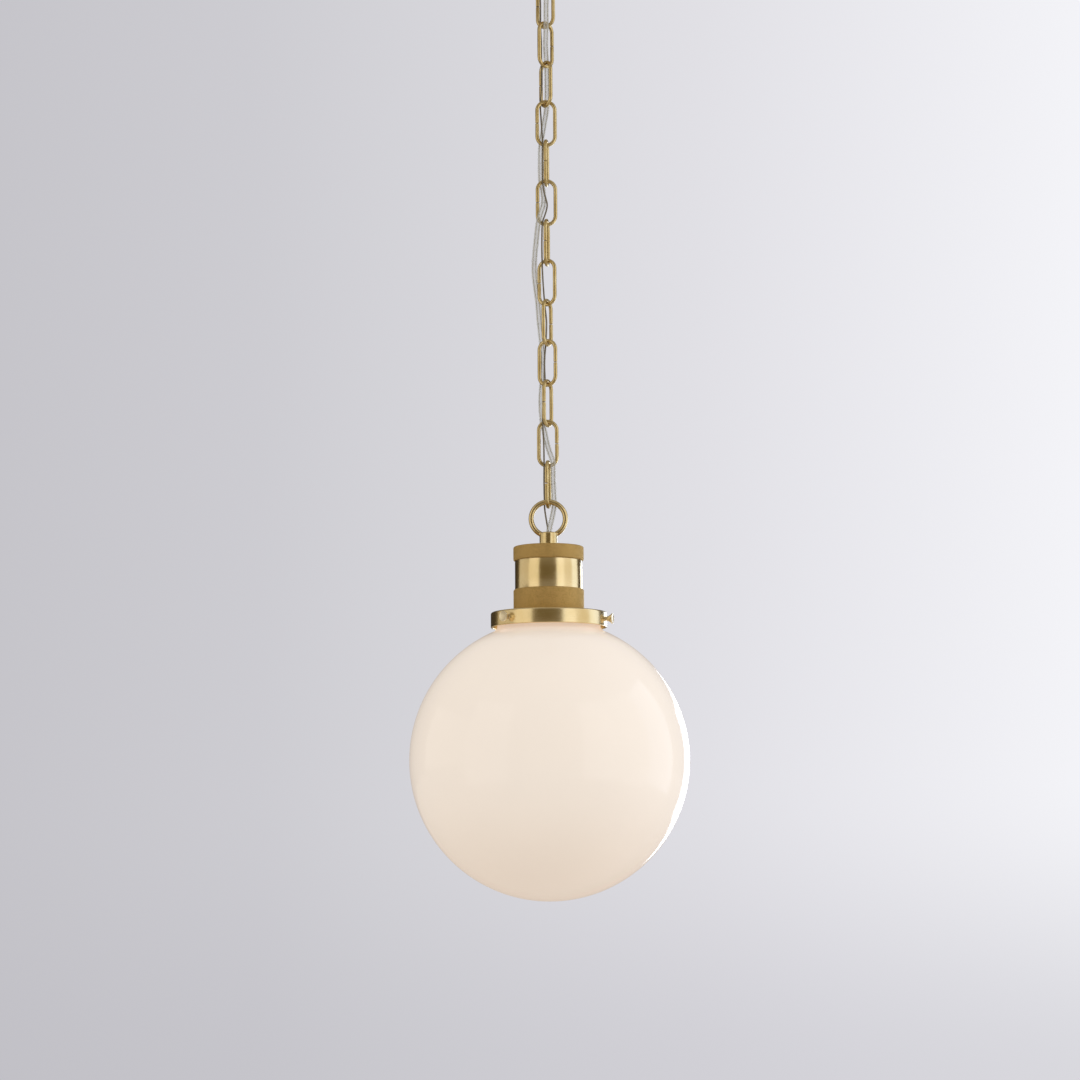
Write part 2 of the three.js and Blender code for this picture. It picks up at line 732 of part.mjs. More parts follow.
const bulbRadius = bulbDiameter / 2;
const bulbLow = bulbTop - bulbLength;
const ballZ = bulbLow + bulbRadius;
const bulbNeck = baseRadius - baseWall - boreClearance;
const sealTop = baseLow + bulbSeal;
const waist = baseLow - 3;
const waistRadius = bulbNeck + 0.6;
const swellRadius = bulbNeck + bulbSwell;
const swellZ = (ballZ + waist) / 2 + 12;
const bulbShell = turned(
  [
    ...arc(0, ballZ, bulbRadius, -90, 38, 6),
    [swellRadius, swellZ],
    [waistRadius, waist],
    [bulbNeck, baseLow],
    [bulbNeck, sealTop],
    [bulbNeck - bulbWall, sealTop],
    [bulbNeck - bulbWall, baseLow],
    [waistRadius - bulbWall, waist],
    [swellRadius - bulbWall, swellZ],
    ...arc(0, ballZ, bulbRadius - bulbWall, 38, -90, 5),
  ],
  18,
);
add(bulb, "bulb_glass", bulbShell, bulbGlass);
const stemTop = sealTop - 4;
const stemEnd = ballZ + 14;
const glassStem = turned(
  [[0, stemEnd], [2, stemEnd], [2, waist], [bulbNeck - bulbWall - touch - 1, stemTop], [0, stemTop]],
  12,
);
add(bulb, "bulb_stem", glassStem, bulbGlass);
const filament = new THREE.TorusGeometry(filamentWidth / 2, filamentWire / 2, 6, 12);
filament.translate(0, 0, stemEnd - 4);
add(bulb, "filament", filament, steel);

// ---- flex and earth wire ----
const wiring = new THREE.Group();
part.add(wiring);
const flex = swept(smooth(flexRoute), ovalSection(flexThickness, flexWidth, 8), 70);
add(wiring, "flex", flex, clearPlastic);
const earthSection = ovalSection(earthDiameter, earthDiameter, 8);
add(wiring, "earth_wire", swept(smooth(earthRoute), earthSection, 70), earthCopper);

export default part;
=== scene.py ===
# %% [markdown]
# # A globe pendant light
#
# A lamp that hangs from the ceiling on an oval-link chain: a round canopy, thirteen links, a brass head
# with a stepped cap, a spun ring with three thumbscrews, and an opal glass globe. A clear flex and a thin
# earth wire are laced through the chain. The measured frame of the lamp comes from CAD. This lesson makes
# the fine pieces and the finishes round it, one at a time.

import math

import bpy
from mathutils import Matrix, Vector


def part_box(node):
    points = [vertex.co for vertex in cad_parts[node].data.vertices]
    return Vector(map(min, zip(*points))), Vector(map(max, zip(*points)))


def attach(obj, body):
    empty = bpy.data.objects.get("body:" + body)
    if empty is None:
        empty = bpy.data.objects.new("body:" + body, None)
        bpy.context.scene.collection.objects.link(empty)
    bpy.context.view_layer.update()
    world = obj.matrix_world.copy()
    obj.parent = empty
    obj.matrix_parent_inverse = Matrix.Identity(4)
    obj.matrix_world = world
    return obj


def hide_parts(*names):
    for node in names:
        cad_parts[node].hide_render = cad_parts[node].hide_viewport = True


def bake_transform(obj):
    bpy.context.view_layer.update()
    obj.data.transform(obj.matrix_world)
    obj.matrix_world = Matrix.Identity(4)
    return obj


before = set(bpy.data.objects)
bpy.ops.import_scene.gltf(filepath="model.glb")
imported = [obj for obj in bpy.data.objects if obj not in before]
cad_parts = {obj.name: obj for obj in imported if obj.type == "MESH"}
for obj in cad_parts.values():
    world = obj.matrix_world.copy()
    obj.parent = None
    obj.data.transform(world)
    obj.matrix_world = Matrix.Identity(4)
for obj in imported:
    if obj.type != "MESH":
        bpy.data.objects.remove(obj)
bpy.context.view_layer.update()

# %% [markdown]
# ## The camera
#
# The lamp is seen from a little below, as by somebody who stands across the room, through a long lens. A
# short lens close by would bulge the globe and shrink the chain towards the ceiling. The camera is tipped up
# by seven degrees, and turned by a third of a degree, because the lamp hangs plumb and the camera did not.

# %% Place the camera
globe_low, globe_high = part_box("glass_globe")
globe_radius = (globe_high.x - globe_low.x) / 2
globe_centre = Vector((0, 0, globe_low.z + globe_radius))

camera_data = bpy.data.cameras.new("camera")
camera_data.lens = 100
camera_data.sensor_width = 36
camera_data.clip_end = 50
camera = bpy.data.objects.new("camera", camera_data)
bpy.context.scene.collection.objects.link(camera)
bpy.context.scene.camera = camera
camera_tip = math.radians(7)
camera_roll = math.radians(-0.31)
turn_up = Matrix.Rotation(math.pi / 2 + camera_tip, 4, "X")
turn_over = Matrix.Rotation(camera_roll, 4, "Z")
stand = Vector((-0.0077, -2.718, globe_centre.z - 0.133))
camera.matrix_world = Matrix.Translation(stand) @ turn_up @ turn_over
bpy.context.scene.view_settings.view_transform = "Standard"
print("camera at", [round(v, 3) for v in stand])

# %% [markdown]
# ## Routes of the flex and the earth wire
#
# Both come out of the pipe in the canopy, weave through the chain from side to side, and go down the stem of
# the head. A route is a list of points in millimetres, the same as in the CAD source, and a smooth curve
# runs through them. A curve drawn by eye would soon pass through a link.

# %% The points of both routes
flex_points = [
    (0, -0.6, -13.5), (0, -0.6, -24), (0, -0.6, -34), (0, -0.6, -41), (1, -3.8, -53), (2.2, -7.5, -65),
    (0.9, -5.7, -80.4), (0.6, -5.3, -92.7), (0.6, -5.4, -104.1), (0.2, -3, -113.3), (0, 0.3, -121.6),
    (0.3, 4, -128.8), (0.9, 7.1, -140.1), (1.2, 6.8, -158.7), (0.7, 6.9, -179.3), (-1.8, 5.4, -195.8),
    (-4.8, 4.1, -215.3), (-5.3, 3.2, -233.9), (-5, 3.9, -250.4), (-3.4, 2.4, -258.6),
    (-2.6, 0.2, -267.9), (-3.2, -2.2, -275.1), (-5.4, -4, -282.3), (-7.5, -4.2, -290.5),
    (-9.6, -1.6, -307), (-11.6, 3.4, -328.7), (-11.4, 6.8, -340), (-10.2, 8.4, -350.3),
    (-8.6, 8.5, -362.6), (-7.3, 6.9, -381.2), (-5.2, 7.3, -401.8), (-4.1, 7.2, -414.2),
    (-5, 7.3, -438.9), (-6.1, 4.8, -457.4), (-4.7, 4.3, -478), (-2.4, 2, -488.3), (-0.4, -0.8, -498.6),
    (2.4, -3.2, -507.9), (4.4, -3.9, -514.1), (4.6, -3.6, -520.3), (4.5, -1.6, -528.5),
    (5, 1.8, -539.8), (5.5, 4.7, -551.2), (5, 4.3, -557.3), (3.9, 2.6, -563.3), (2, 0.4, -571.3),
    (0.4, -0.6, -579.3), (0, -0.6, -586.3), (0, -0.6, -614.3), (0, -0.6, -644.3), (0, -0.6, -676.3),
]
earth_points = [
    (-11, 0, -3.8), (-7, 0.6, -4.6), (-2.4, 1.6, -8), (0, 1.9, -14), (0, 1.9, -24), (0, 1.9, -34),
    (0, 1.9, -41), (-2.4, 0.4, -53), (-4.9, -1.3, -65), (-4.6, -1.5, -83.5), (-4.6, -0.6, -104.1),
    (-4, 0.4, -121.6), (-3.9, 0.5, -142.2), (-3.7, 0.6, -158.7), (-5.2, 2.9, -177.2),
    (-4.6, 1.2, -191.6), (-3.9, -1.4, -204), (-3.4, -3.4, -215.3), (-3.6, -1.9, -233.9),
    (-3.3, -3.2, -254.5), (-1.6, -3.4, -264.8), (0.6, -3.6, -274.1), (-0.3, -4.2, -280.2),
    (-1.8, -4.4, -284.9), (-3.6, -3.9, -290), (-4.4, -1.6, -305), (-4.3, -1.3, -329.7),
    (-3.6, 1.8, -346.2), (-2.1, 4.5, -366.8), (-0.6, 3.6, -383.3), (-1.5, 4.3, -404.9),
    (-2.7, 3.6, -420.3), (-2.3, 4.6, -442), (-4.2, 1, -459.5), (-4.7, -3.2, -476),
    (-3.8, -3.2, -497.6), (-3.6, -3.3, -517.2), (-3.7, -0.8, -534.7), (-3.4, 3.7, -550.1),
    (-3.2, 3.4, -557.3), (-1.8, 2.8, -567.3), (-0.5, 2.2, -576.3), (0, 1.9, -584.3), (0, 1.9, -614.3),
    (0, 1.9, -644.3), (0, 1.9, -676.3),
]
print("routes:", len(flex_points), "and", len(earth_points), "points")

# %% [markdown]
# ## Sums on sockets
#
# Most finishes need a little arithmetic: a mask times a strength, one minus a mask. Drawn as nodes it is
# slow to read, so a small class wraps a socket and lets it stand in an ordinary expression. Each operator
# adds one Math node. Any other node comes from one method that sets the node's own settings first.

# %% A value that comes out of a node
class Signal:
    """A socket that can be added, subtracted and multiplied like a number."""

    def __init__(self, nodes, socket):
        self.nodes = nodes
        self.socket = socket

    def combined(self, operation, first, second):
        made = self.nodes.add("ShaderNodeMath", {"operation": operation}, {0: first, 1: second})
        return Signal(self.nodes, made.outputs[0])

    def __add__(self, other):
        return self.combined("ADD", self, other)

    __radd__ = __add__

    def __sub__(self, other):
        return self.combined("SUBTRACT", self, other)

    def __rsub__(self, other):
        return self.combined("SUBTRACT", other, self)

    def __mul__(self, other):
        return self.combined("MULTIPLY", self, other)

    __rmul__ = __mul__


# %% The nodes of one finish
class Nodes:
    """The node tree of a material or of the world."""

    def __init__(self, tree):
        self.tree = tree

    def add(self, kind, settings=None, inputs=None):
        made = self.tree.nodes.new(kind)
        for name, value in (settings or {}).items():
            if name == "stops":
                while len(made.color_ramp.elements) < len(value):
                    made.color_ramp.elements.new(0.5)
                for stop, (place, colour) in zip(made.color_ramp.elements, value):
                    stop.position = place
                    stop.color = (*colour, 1)
            else:
                setattr(made, name, value)
        for name, value in (inputs or {}).items():
            self.feed(made.inputs[name], value)
        return made

    def feed(self, socket, value):
        if isinstance(value, Signal):
            self.tree.links.new(value.socket, socket)
        else:
            socket.default_value = value

    def out(self, made, name=0):
        return Signal(self, made.outputs[name])

    def place(self, stretch=(1, 1, 1)):
        """Object coordinates, stretched by a factor along each axis."""
        where = self.add("ShaderNodeTexCoord")
        mapped = self.add("ShaderNodeMapping", None, {"Vector": self.out(where, "Object"), "Scale": stretch})
        return self.out(mapped)

    def noise(self, size, detail=3, stretch=(1, 1, 1)):
        """Cloudy noise from 0 to 1, its blobs about as wide as size, in metres."""
        inputs = {"Vector": self.place(stretch), "Scale": 1 / size, "Detail": detail}
        return self.out(self.add("ShaderNodeTexNoise", None, inputs), "Fac")

    def ramp(self, value, low, high, smooth=True):
        """0 below low, 1 above high."""
        kind = "SMOOTHSTEP" if smooth else "LINEAR"
        inputs = {"Value": value, "From Min": low, "From Max": high}
        return self.out(self.add("ShaderNodeMapRange", {"interpolation_type": kind}, inputs))

    def mixed(self, mask, first, second):
        """The first colour where the mask is 0 and the second where it is 1."""
        made = self.add("ShaderNodeMix", {"data_type": "RGBA"}, {"Factor": mask})
        self.feed(made.inputs[6], first if isinstance(first, Signal) else (*first, 1))
        self.feed(made.inputs[7], second if isinstance(second, Signal) else (*second, 1))
        return Signal(self, made.outputs[2])

    def bumped(self, height, depth):
        """A normal for a surface that rises by depth, in metres, where the height is 1."""
        made = self.add("ShaderNodeBump", None, {"Height": height, "Distance": depth, "Strength": 1.0})
        return self.out(made)


def finish(name, **constants):
    """A new material and its nodes. Constants are sockets of the surface that stay the same all over."""
    material = bpy.data.materials.new(name)
    material.use_nodes = True
    surface = material.node_tree.nodes["Principled BSDF"]
    for socket, value in constants.items():
        surface.inputs[socket.replace("_", " ")].default_value = value
    return material, Nodes(material.node_tree), surface


print("shader helpers ready")

# %% [markdown]
# ## Satin brass: the chain and the upper loop
#
# The wire is drawn, bent, brushed and lacquered. Its brushing is too fine to see as lines from across a
# room, but it makes the highlights wide and soft and breaks them up a little. A plain rough metal would look
# like plastic, so the roughness wanders, the colour is deeper in patches where the lacquer is thicker, and
# the bump has long fine scratches.

# %% Satin brass
satin_brass, nodes, surface = finish("satin_brass", Metallic=1.0)
patches = nodes.ramp(nodes.noise(0.012), 0.35, 0.7)
scratches = nodes.noise(0.0004, 2, (1, 1, 0.12))
deep_colour = (0.66, 0.50, 0.225)
fresh_colour = (0.78, 0.63, 0.330)
nodes.feed(surface.inputs["Base Color"], nodes.mixed(patches, deep_colour, fresh_colour))
nodes.feed(surface.inputs["Roughness"], 0.26 + 0.08 * scratches + 0.05 * patches)
nodes.feed(surface.inputs["Normal"], nodes.bumped(scratches, 0.000008))
print("satin brass:", len(nodes.tree.nodes), "nodes")

# %% [markdown]
# ## Polished brass: the band, the ring and the domed nuts
#
# These are turned on a lathe, polished and lacquered. They mirror the room in upright stripes that are sharp
# across but a little streaked round the piece, from the last pass of the polishing cloth. The streaks come
# from noise that is stretched round the piece and squeezed along its height.

# %% Polished brass
polished_brass, nodes, surface = finish("polished_brass", Metallic=1.0)
streaks = nodes.noise(0.0011, 3, (0.05, 0.05, 1.0))
clouding = nodes.ramp(nodes.noise(0.02), 0.3, 0.75)
nodes.feed(
    surface.inputs["Base Color"], nodes.mixed(clouding, (0.80, 0.63, 0.330), (0.86, 0.71, 0.420))
)
nodes.feed(surface.inputs["Roughness"], 0.15 + 0.08 * streaks + 0.03 * clouding)
nodes.feed(surface.inputs["Normal"], nodes.bumped(streaks, 0.000012))
print("polished brass:", len(nodes.tree.nodes), "nodes")

# %% [markdown]
# ## Matte cast brass: the cap, the collar and the canopy
#
# These are blasted with fine grit before they are lacquered, so they have an even, dull grain with no mirror
# image in it at all. The grain is under half a millimetre. Two sizes of noise make it: a fine one for the
# pits, and a coarser one for the slight unevenness of the blasting.

# %% Matte cast brass
cast_brass, nodes, surface = finish("cast_brass", Metallic=1.0)
pits = nodes.noise(0.00045, 2)
blotches = nodes.ramp(nodes.noise(0.006, 3), 0.3, 0.75)
pit_colour = nodes.mixed(nodes.ramp(pits, 0.35, 0.62), (0.50, 0.345, 0.122), (0.79, 0.575, 0.240))
nodes.feed(
    surface.inputs["Base Color"], nodes.mixed(0.35 * blotches, pit_colour, (0.83, 0.635, 0.300))
)
nodes.feed(surface.inputs["Roughness"], 0.66 + 0.14 * pits + 0.05 * blotches)
nodes.feed(surface.inputs["Normal"], nodes.bumped(pits, 0.00012))
print("matte cast brass:", len(nodes.tree.nodes), "nodes")

# %% [markdown]
# ## Opal glass: the globe
#
# Opal glass is clear glass over a milky layer. Light goes in, scatters and comes out somewhere else, so the
# ball looks almost evenly lit, a little warmer towards the bottom and under the brass, with a hard gloss on
# top. Scattering below the surface is slow and doesn't survive export, so a soft glow of its own stands in
# for the light that has travelled through the glass, and the gloss stays a plain reflection. The glow is
# painted darker and warmer towards the bottom as painted shade, and the glow and the colour are painted
# darker and warmer just under the brass, as painted shade under the ring.

# %% Opal glass
opal_glass, nodes, surface = finish(
    "opal_glass", Roughness=0.10, IOR=1.5, Emission_Strength=0.50, Specular_IOR_Level=0.25
)
where = nodes.add("ShaderNodeTexCoord")
parts = nodes.add("ShaderNodeSeparateXYZ", None, {0: nodes.out(where, "Object")})
height = (nodes.out(parts, "Z") - globe_centre.z) * (1 / globe_radius)
# Painted shade: the colour and the glow are darker and warmer just under the brass ring, and the glow is darker
# towards the bottom.
shade_under_brass = nodes.ramp(height, 0.80, 0.95)
shade_towards_floor = nodes.ramp(0 - height, 0.1, 1.0)
clouds = nodes.ramp(nodes.noise(0.05, 2), 0.3, 0.7)
milk = nodes.mixed(0.6 * clouds, (0.83, 0.790, 0.735), (0.86, 0.815, 0.755))
nodes.feed(surface.inputs["Base Color"], nodes.mixed(0.7 * shade_under_brass, milk, (0.84, 0.72, 0.62)))
glow_shaded_below = nodes.mixed(shade_towards_floor, (0.89, 0.79, 0.720), (0.80, 0.65, 0.545))
nodes.feed(surface.inputs["Emission Color"], nodes.mixed(0.8 * shade_under_brass, glow_shaded_below, (0.56, 0.47, 0.400)))
print("opal glass:", len(nodes.tree.nodes), "nodes")

# %% [markdown]
# ## The clear flex and the earth wire
#
# The flex has two cores of fine tinned wires side by side in clear plastic that has gone slightly green. The
# plastic lets most of the light through, so it is made partly transparent, and the cores are separate pieces
# inside it. The earth wire is bare twisted copper that has dulled.

# %% Clear plastic, tinned cores and the earth wire
clear_plastic, nodes, surface = finish("clear_plastic", Roughness=0.16, IOR=1.48)
ageing = nodes.ramp(nodes.noise(0.03, 2), 0.3, 0.7)
nodes.feed(surface.inputs["Base Color"], nodes.mixed(ageing, (0.80, 0.85, 0.80), (0.88, 0.90, 0.87)))
nodes.feed(surface.inputs["Alpha"], 0.24 + 0.08 * ageing)

tinned_wire, nodes, surface = finish("tinned_wire", Metallic=1.0)
strands = nodes.noise(0.0006, 2, (1, 1, 0.3))
nodes.feed(surface.inputs["Base Color"], nodes.mixed(strands, (0.55, 0.54, 0.50), (0.78, 0.76, 0.70)))
nodes.feed(surface.inputs["Roughness"], 0.35 + 0.15 * strands)
nodes.feed(surface.inputs["Normal"], nodes.bumped(strands, 0.0001))

earth_copper, nodes, surface = finish("earth_copper", Metallic=0.9)
strands = nodes.noise(0.0006, 2, (1, 1, 0.3))
nodes.feed(surface.inputs["Base Color"], nodes.mixed(strands, (0.17, 0.15, 0.12), (0.36, 0.32, 0.25)))
nodes.feed(surface.inputs["Roughness"], 0.40 + 0.15 * strands)
nodes.feed(surface.inputs["Normal"], nodes.bumped(strands, 0.0001))
print("wiring finishes ready")

# %% [markdown]
# ## The finishes that are mostly hidden
#
# Inside the canopy and the globe are zinc-plated steel, dark moulded plastic, a green screw, the coloured
# caps of the wire connectors and the frosted bulb. They are seen when the lamp is taken down or turned over,
# so each has its own grain or speckle as well, and none is one flat colour.

# %% Steel, moulded plastics, paint and bulb glass
def mottled(name, size, dark, light, rough_low, rough_span, depth, **constants):
    """A finish of two tones with a fine bump, for pieces that are seen little."""
    material, nodes, surface = finish(name, **constants)
    speckle = nodes.noise(size, 3)
    tone = nodes.ramp(speckle, 0.3, 0.7)
    nodes.feed(surface.inputs["Base Color"], nodes.mixed(tone, dark, light))
    nodes.feed(surface.inputs["Roughness"], rough_low + rough_span * speckle)
    nodes.feed(surface.inputs["Normal"], nodes.bumped(speckle, depth))
    return material


zinc_steel = mottled(
    "zinc_steel", 0.004, (0.42, 0.43, 0.44), (0.60, 0.61, 0.62), 0.28, 0.2, 0.00003, Metallic=1.0
)
moulding = mottled("dark_moulding", 0.0008, (0.016, 0.014, 0.012), (0.03, 0.026, 0.022), 0.4, 0.2, 0.00004)
green_paint = mottled("green_paint", 0.002, (0.03, 0.16, 0.05), (0.05, 0.22, 0.08), 0.3, 0.15, 0.00003)
connector_cap = mottled("connector_cap", 0.001, (0.62, 0.33, 0.05), (0.72, 0.41, 0.08), 0.4, 0.15, 0.00004)
frosted = mottled("frosted_bulb", 0.0006, (0.80, 0.79, 0.75), (0.86, 0.85, 0.82), 0.35, 0.15, 0.00003)
print("hidden finishes ready")

# %% [markdown]
# ## The lower loop and the thumbscrews
#
# Both are brass that was turned or brushed bright, but handled since. Their shine is a little broken, without
# the streaks round the axis that a big polished ring has, because each of them lies a different way. The
# thumbscrews are gripped most, so they are lighter and duller.

# %% Handled brass
loop_brass = mottled(
    "loop_brass", 0.003, (0.72, 0.56, 0.280), (0.80, 0.65, 0.360), 0.20, 0.08, 0.00001, Metallic=1.0
)
screw_brass = mottled(
    "screw_brass", 0.0012, (0.84, 0.72, 0.480), (0.93, 0.83, 0.620), 0.32, 0.16, 0.00008, Metallic=1.0
)
print("handled brass ready")

# %% [markdown]
# ## Helpers for modelling
#
# An operator works on everything that is selected, and loading the frame leaves all of it selected. So each
# piece begins by clearing the selection. When a piece is ready it gets its finish, rides on a body of the
# frame, and takes the place of its plain CAD solid.

# %% Clearing the selection, applying modifiers, and handing a piece over
def fresh_start():
    if bpy.context.mode != "OBJECT":
        bpy.ops.object.mode_set(mode="OBJECT")
    bpy.ops.object.select_all(action="DESELECT")


def only(piece):
    fresh_start()
    piece.select_set(True)
    bpy.context.view_layer.objects.active = piece


def settle(piece):
    """Puts the piece's place and turn into its mesh."""
    only(piece)
    bpy.ops.object.transform_apply(location=True, rotation=True, scale=True)


def modified(piece, kind, **settings):
    """Adds one modifier and applies it."""
    only(piece)
    modifier = piece.modifiers.new(kind.lower(), kind)
    for name, value in settings.items():
        setattr(modifier, name, value)
    bpy.ops.object.modifier_apply(modifier=modifier.name)


def softened(piece, width, segments=2, angle=35):
    """Rounds every edge that is sharper than the angle."""
    limit = math.radians(angle)
    modified(piece, "BEVEL", width=width, segments=segments, limit_method="ANGLE", angle_limit=limit)


def copied(piece, name):
    """A copy with its own mesh."""
    only(piece)
    bpy.ops.object.duplicate(linked=False)
    twin = bpy.context.active_object
    twin.name = name
    twin.data.name = name
    return twin


def hand_over(piece, body, material, stands_for, angle=40):
    """Smooths, colours and fixes a finished piece to its body of the frame."""
    settle(piece)
    bpy.ops.object.shade_smooth_by_angle(angle=math.radians(angle))
    piece.data.materials.clear()
    piece.data.materials.append(material)
    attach(piece, body)
    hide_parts(*stands_for)
    print(piece.name, "on", body, "-", len(piece.data.polygons), "faces")


# %% [markdown]
# ## Turned pieces
#
# Half of this lamp came off a lathe or a spinning mandrel: cap, band, collar, ring, screws, globe, canopy.
# Such a piece is an outline spun about an axis. The outline starts as one point, which is extruded from
# corner to corner, and the Spin operator turns it through a full circle. A cylinder with loops added would
# also do, but then each rebate and lip needs its own step.

# %% Spin an outline
def turned(name, outline, steps=96):
    """Spins a closed outline of (radius, height) corners about the Z axis."""
    fresh_start()
    bpy.ops.mesh.primitive_plane_add(size=0.001, location=(0, 0, 0))
    piece = bpy.context.active_object
    piece.name = name
    piece.data.name = name
    bpy.ops.object.mode_set(mode="EDIT")
    bpy.ops.mesh.merge(type="CENTER")
    bpy.ops.transform.translate(value=(outline[0][0], 0, outline[0][1]))
    for (r0, z0), (r1, z1) in zip(outline, [*outline[1:], outline[0]]):
        bpy.ops.mesh.extrude_region_move(TRANSFORM_OT_translate={"value": (r1 - r0, 0, z1 - z0)})
    bpy.ops.mesh.select_all(action="SELECT")
    bpy.ops.mesh.remove_doubles(threshold=1e-6)
    bpy.ops.mesh.select_all(action="SELECT")
    bpy.ops.mesh.spin(steps=steps, angle=2 * math.pi, center=(0, 0, 0), axis=(0, 0, 1))
    bpy.ops.mesh.select_all(action="SELECT")
    bpy.ops.mesh.remove_doubles(threshold=1e-6)
    bpy.ops.mesh.delete_loose()
    bpy.ops.mesh.select_all(action="SELECT")
    bpy.ops.mesh.normals_make_consistent(inside=False)
    bpy.ops.object.mode_set(mode="OBJECT")
    return piece


def corner(radius, height, size, start, end, steps=6):
    """The corners of a rounded edge: an arc in degrees from the outward direction towards the top."""
    angles = [math.radians(start + (end - start) * i / steps) for i in range(steps + 1)]
    return [(radius + size * math.cos(a), height + size * math.sin(a)) for a in angles]


def heights(node):
    """The lowest and highest level of a CAD node."""
    low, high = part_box(node)
    return low.z, high.z


mm = 0.001
pipe_hole = 5.4 * mm
gap = 0.3 * mm
drill_radius = 2.4 * mm
drill_past = 2 * mm
stud_radius = 2 * mm
print("lathe ready")

# %% [markdown]
# ## One link of the chain
#
# A link is a straight piece of round wire bent into an oval until its ends meet. It is made the same way: a
# circle is extruded up one side, spun round the top bend, brought down the other side, spun round the bottom,
# and stopped just short of where it started, so the butt joint shows as a fine gap. A torus with its middle
# pulled apart would have no joint, and its straight sides would be bowed.

# %% Bend the wire
link_low, link_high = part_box("chain_link_01")
link_length = link_high.z - link_low.z
link_width = 19.9 * mm
link_wire = 3.4 * mm
bend = (link_width - link_wire) / 2
straight = (link_length - link_width) / 2
seam = 0.32 * mm

fresh_start()
bpy.ops.mesh.primitive_circle_add(
    vertices=28, radius=link_wire / 2, fill_type="NOTHING", location=(bend, 0, seam)
)
link = bpy.context.active_object
link.name = "link_master"
bpy.ops.object.transform_apply(location=True, rotation=True, scale=True)
bpy.ops.object.mode_set(mode="EDIT")
bpy.ops.mesh.select_all(action="SELECT")
bpy.ops.mesh.extrude_region_move(TRANSFORM_OT_translate={"value": (0, 0, straight - seam)})
bpy.ops.mesh.spin(steps=28, angle=math.pi, center=(0, 0, straight), axis=(0, 1, 0))
bpy.ops.mesh.extrude_region_move(TRANSFORM_OT_translate={"value": (0, 0, -2 * straight)})
bpy.ops.mesh.spin(steps=28, angle=math.pi, center=(0, 0, -straight), axis=(0, 1, 0))
bpy.ops.mesh.extrude_region_move(TRANSFORM_OT_translate={"value": (0, 0, straight - seam)})
bpy.ops.mesh.select_all(action="SELECT")
bpy.ops.mesh.remove_doubles(threshold=1e-6)
bpy.ops.mesh.select_all(action="DESELECT")
bpy.ops.mesh.select_mode(type="EDGE")
bpy.ops.mesh.select_non_manifold()
bpy.ops.mesh.fill_holes(sides=0)
bpy.ops.mesh.select_mode(type="VERT")
bpy.ops.mesh.select_all(action="SELECT")
bpy.ops.mesh.normals_make_consistent(inside=False)
bpy.ops.object.mode_set(mode="OBJECT")
softened(link, 0.35 * mm, 3, 50)
print("link:", len(link.data.polygons), "faces,", [round(v * 1000, 1) for v in link.dimensions], "mm")

# %% [markdown]
# ## The whole chain
#
# Real chain never hangs with every second link square to the one above. Each link here has its own turn,
# and its joint is on either side, as it came off the reel. The turns repeat the ones in the CAD source, and
# each link's height comes from its CAD solid.

# %% Hang thirteen links
link_turns = [-30, 44, -57, 3, 83, 3, 81, -30, 65, -27, 66, 0, 81]
seam_sides = [-1, 1, -1, -1, -1, -1, -1, -1, 1, 1, -1, 1, -1]
link_centres = []
for i, (turn, side) in enumerate(zip(link_turns, seam_sides), start=1):
    low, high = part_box(f"chain_link_{i:02d}")
    link_centres.append((low.z + high.z) / 2)
    piece = copied(link, f"oval_link_{i:02d}")
    half_turn = 0 if side > 0 else 180
    piece.rotation_euler = (0, 0, math.radians(turn + half_turn))
    piece.location = (0, 0, link_centres[-1])
    hand_over(piece, f"link_{i:02d}", satin_brass, [f"chain_link_{i:02d}"])
bpy.data.objects.remove(link)
pitch = link_centres[0] - link_centres[1]
print("pitch of the chain:", round(pitch * 1000, 2), "mm")

# %% [markdown]
# ## A loop with a wire way
#
# The loops at both ends are a heavy ring brazed to a threaded stem, with a hole down through both for the
# flex. A ring and a stem are joined with a boolean, the hole is cut, and a voxel remesh and a little smoothing
# turn the sharp line where they meet into the soft fillet that brazing leaves.

# %% Ring, stem and wire way
stem_height = 13 * mm
ring_rise = stem_height + 12.5 * mm
ring_wire = 4.8 * mm
ring_radius = (36.1 * mm - ring_wire) / 2
stem_radius = 8.1 * mm


def rod(name, radius, low, high, sides=48):
    fresh_start()
    bpy.ops.mesh.primitive_cylinder_add(
        vertices=sides, radius=radius, depth=high - low, location=(0, 0, (low + high) / 2)
    )
    made = bpy.context.active_object
    made.name = name
    settle(made)
    return made


def combined(piece, operation, tool):
    """Joins or cuts a piece with a tool, which is then gone."""
    modified(piece, "BOOLEAN", operation=operation, object=tool, solver="EXACT")
    bpy.data.objects.remove(tool)


stem = turned(
    "loop_master",
    [
        (0.0, 0),
        *corner(stem_radius - 0.5 * mm, 0.5 * mm, 0.5 * mm, -90, 0),
        *corner(stem_radius - 1.4 * mm, stem_height - 1.4 * mm, 1.4 * mm, 0, 90),
        (0.0, stem_height),
    ],
    64,
)
fresh_start()
bpy.ops.mesh.primitive_torus_add(
    major_radius=ring_radius, minor_radius=ring_wire / 2, major_segments=96, minor_segments=24,
    location=(0, 0, ring_rise), rotation=(math.pi / 2, 0, 0),
)
ring = bpy.context.active_object
settle(ring)
combined(stem, "UNION", ring)
combined(stem, "DIFFERENCE", rod("way", 4 * mm, -1 * mm, ring_rise - ring_wire))
combined(stem, "DIFFERENCE", rod("thread", pipe_hole, -1 * mm, 7.3 * mm))
modified(stem, "REMESH", mode="VOXEL", voxel_size=0.36 * mm, use_smooth_shade=True)
modified(stem, "SMOOTH", factor=0.5, iterations=5)
print("loop:", len(stem.data.polygons), "faces")

# %% The loop of the canopy, upside down, and the loop of the head
canopy_loop = copied(stem, "loop_upper")
canopy_loop.rotation_euler = (math.pi, 0, math.radians(60))
canopy_loop.location = (0, 0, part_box("canopy_loop")[1].z)
hand_over(canopy_loop, "canopy", satin_brass, ["canopy_loop"], 180)

